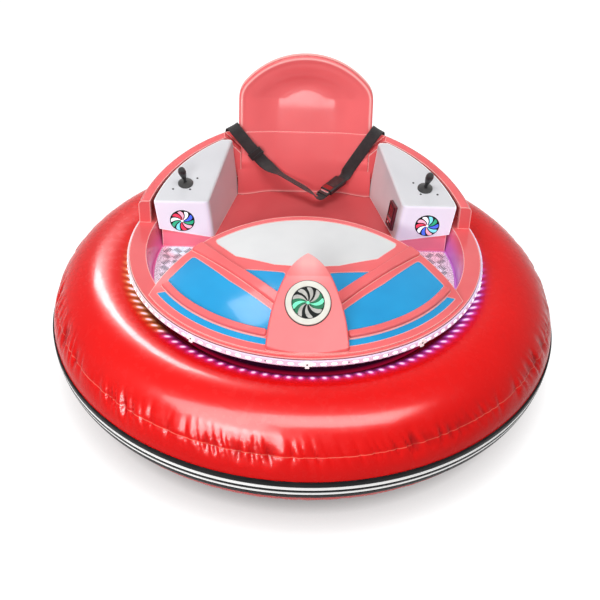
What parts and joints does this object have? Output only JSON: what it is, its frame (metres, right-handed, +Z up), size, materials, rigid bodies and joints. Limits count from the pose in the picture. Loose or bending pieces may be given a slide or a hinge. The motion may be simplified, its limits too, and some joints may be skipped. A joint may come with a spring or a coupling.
{
  "type": "inflatable ring bumper car",
  "caption": "Round one-seat bumper car: moulded body with bucket seat, joysticks and lights inside an inflatable ring, on drive wheels and casters.",
  "frame": {"origin": "on the floor under the centre of the ring", "axes": "+Z up, -Y towards the nose, +X to the right of someone who looks at the nose"},
  "size_m": [1.4998, 1.4998, 0.778],
  "materials": {
    "body_gloss": "glossy coral gel coat over fibreglass",
    "console_white": "glossy white gel coat",
    "ring_vinyl": "glossy red welded vinyl",
    "strip_rubber": "black rubber with two thin white lines",
    "black_plastic": "fine-grained black plastic",
    "lamp_lens": "clear domed cover over coloured pinwheel blades",
    "bezel_white": "white moulded ring",
    "light_tube": "milky flexible light tube",
    "clip_white": "white moulded clips",
    "panel_dark": "dark red and black blank panel",
    "webbing": "black woven webbing",
    "tread_metal": "ribbed tread plate",
    "frame_steel": "black painted steel",
    "zinc_steel": "zinc plated steel",
    "battery_case": "dark battery case",
    "motor_paint": "dark painted motor",
    "wheel_grey": "grey moulded wheel",
    "tyre_rubber": "black solid tyre"
  },
  "bodies": {
    "chassis": {"base_shell": "body_gloss", "battery_pack": "battery_case", "battery_tray": "frame_steel", "belt_anchors": "zinc_steel", "belt_buckle": "black_plastic", "belt_slider": "black_plastic", "belt_straps": "webbing", "belt_tongue": "black_plastic", "caster_mounts": "frame_steel", "console_left": "console_white", "console_lights": "lamp_lens", "console_right": "console_white", "control_panel": "panel_dark", "frame_cross_bars": "frame_steel", "frame_hoop": "frame_steel", "frame_posts": "frame_steel", "frame_rails": "frame_steel", "gear_motors": "motor_paint", "hood": "body_gloss", "inflatable_ring": "ring_vinyl", "inflation_valve": "black_plastic", "joystick_boots": "black_plastic", "joystick_levers": "black_plastic", "led_clips": "clip_white", "led_strip": "light_tube", "nose_light_bezel": "bezel_white", "nose_light_lens": "lamp_lens", "nose_pod": "body_gloss", "rub_strip": "strip_rubber", "seat_shell": "body_gloss", "tread_plates": "tread_metal", "wing_surround": "body_gloss"},
    "drive_wheel_left": {"wheel_rim_left": "zinc_steel", "drive_tyre_left": "tyre_rubber"},
    "drive_wheel_right": {"wheel_rim_right": "zinc_steel", "drive_tyre_right": "tyre_rubber"},
    "caster_front_left": {"caster_fork_front_left": "zinc_steel"},
    "caster_roll_front_left": {"caster_wheel_front_left": "wheel_grey"},
    "caster_front_right": {"caster_fork_front_right": "zinc_steel"},
    "caster_roll_front_right": {"caster_wheel_front_right": "wheel_grey"},
    "caster_back_left": {"caster_fork_back_left": "zinc_steel"},
    "caster_roll_back_left": {"caster_wheel_back_left": "wheel_grey"},
    "caster_back_right": {"caster_fork_back_right": "zinc_steel"},
    "caster_roll_back_right": {"caster_wheel_back_right": "wheel_grey"}
  },
  "joints": [
    {"name": "drive_roll_left", "type": "hinge", "parent": "chassis", "child": "drive_wheel_left", "pos_m": [-0.23, 0.06, 0.1], "axis": [1, 0, 0], "continuous": true},
    {"name": "drive_roll_right", "type": "hinge", "parent": "chassis", "child": "drive_wheel_right", "pos_m": [0.23, 0.06, 0.1], "axis": [1, 0, 0], "continuous": true},
    {"name": "caster_swivel_front_left", "type": "hinge", "parent": "chassis", "child": "caster_front_left", "pos_m": [-0.205, -0.235, 0.1], "axis": [0, 0, 1], "continuous": true},
    {"name": "caster_spin_front_left", "type": "hinge", "parent": "caster_front_left", "child": "caster_roll_front_left", "pos_m": [-0.205, -0.207, 0.0375], "axis": [1, 0, 0], "continuous": true},
    {"name": "caster_swivel_front_right", "type": "hinge", "parent": "chassis", "child": "caster_front_right", "pos_m": [0.205, -0.235, 0.1], "axis": [0, 0, 1], "continuous": true},
    {"name": "caster_spin_front_right", "type": "hinge", "parent": "caster_front_right", "child": "caster_roll_front_right", "pos_m": [0.205, -0.207, 0.0375], "axis": [1, 0, 0], "continuous": true},
    {"name": "caster_swivel_back_left", "type": "hinge", "parent": "chassis", "child": "caster_back_left", "pos_m": [-0.205, 0.262, 0.1], "axis": [0, 0, 1], "continuous": true},
    {"name": "caster_spin_back_left", "type": "hinge", "parent": "caster_back_left", "child": "caster_roll_back_left", "pos_m": [-0.205, 0.29, 0.0375], "axis": [1, 0, 0], "continuous": true},
    {"name": "caster_swivel_back_right", "type": "hinge", "parent": "chassis", "child": "caster_back_right", "pos_m": [0.205, 0.262, 0.1], "axis": [0, 0, 1], "continuous": true},
    {"name": "caster_spin_back_right", "type": "hinge", "parent": "caster_back_right", "child": "caster_roll_back_right", "pos_m": [0.205, 0.29, 0.0375], "axis": [1, 0, 0], "continuous": true}
  ]
}
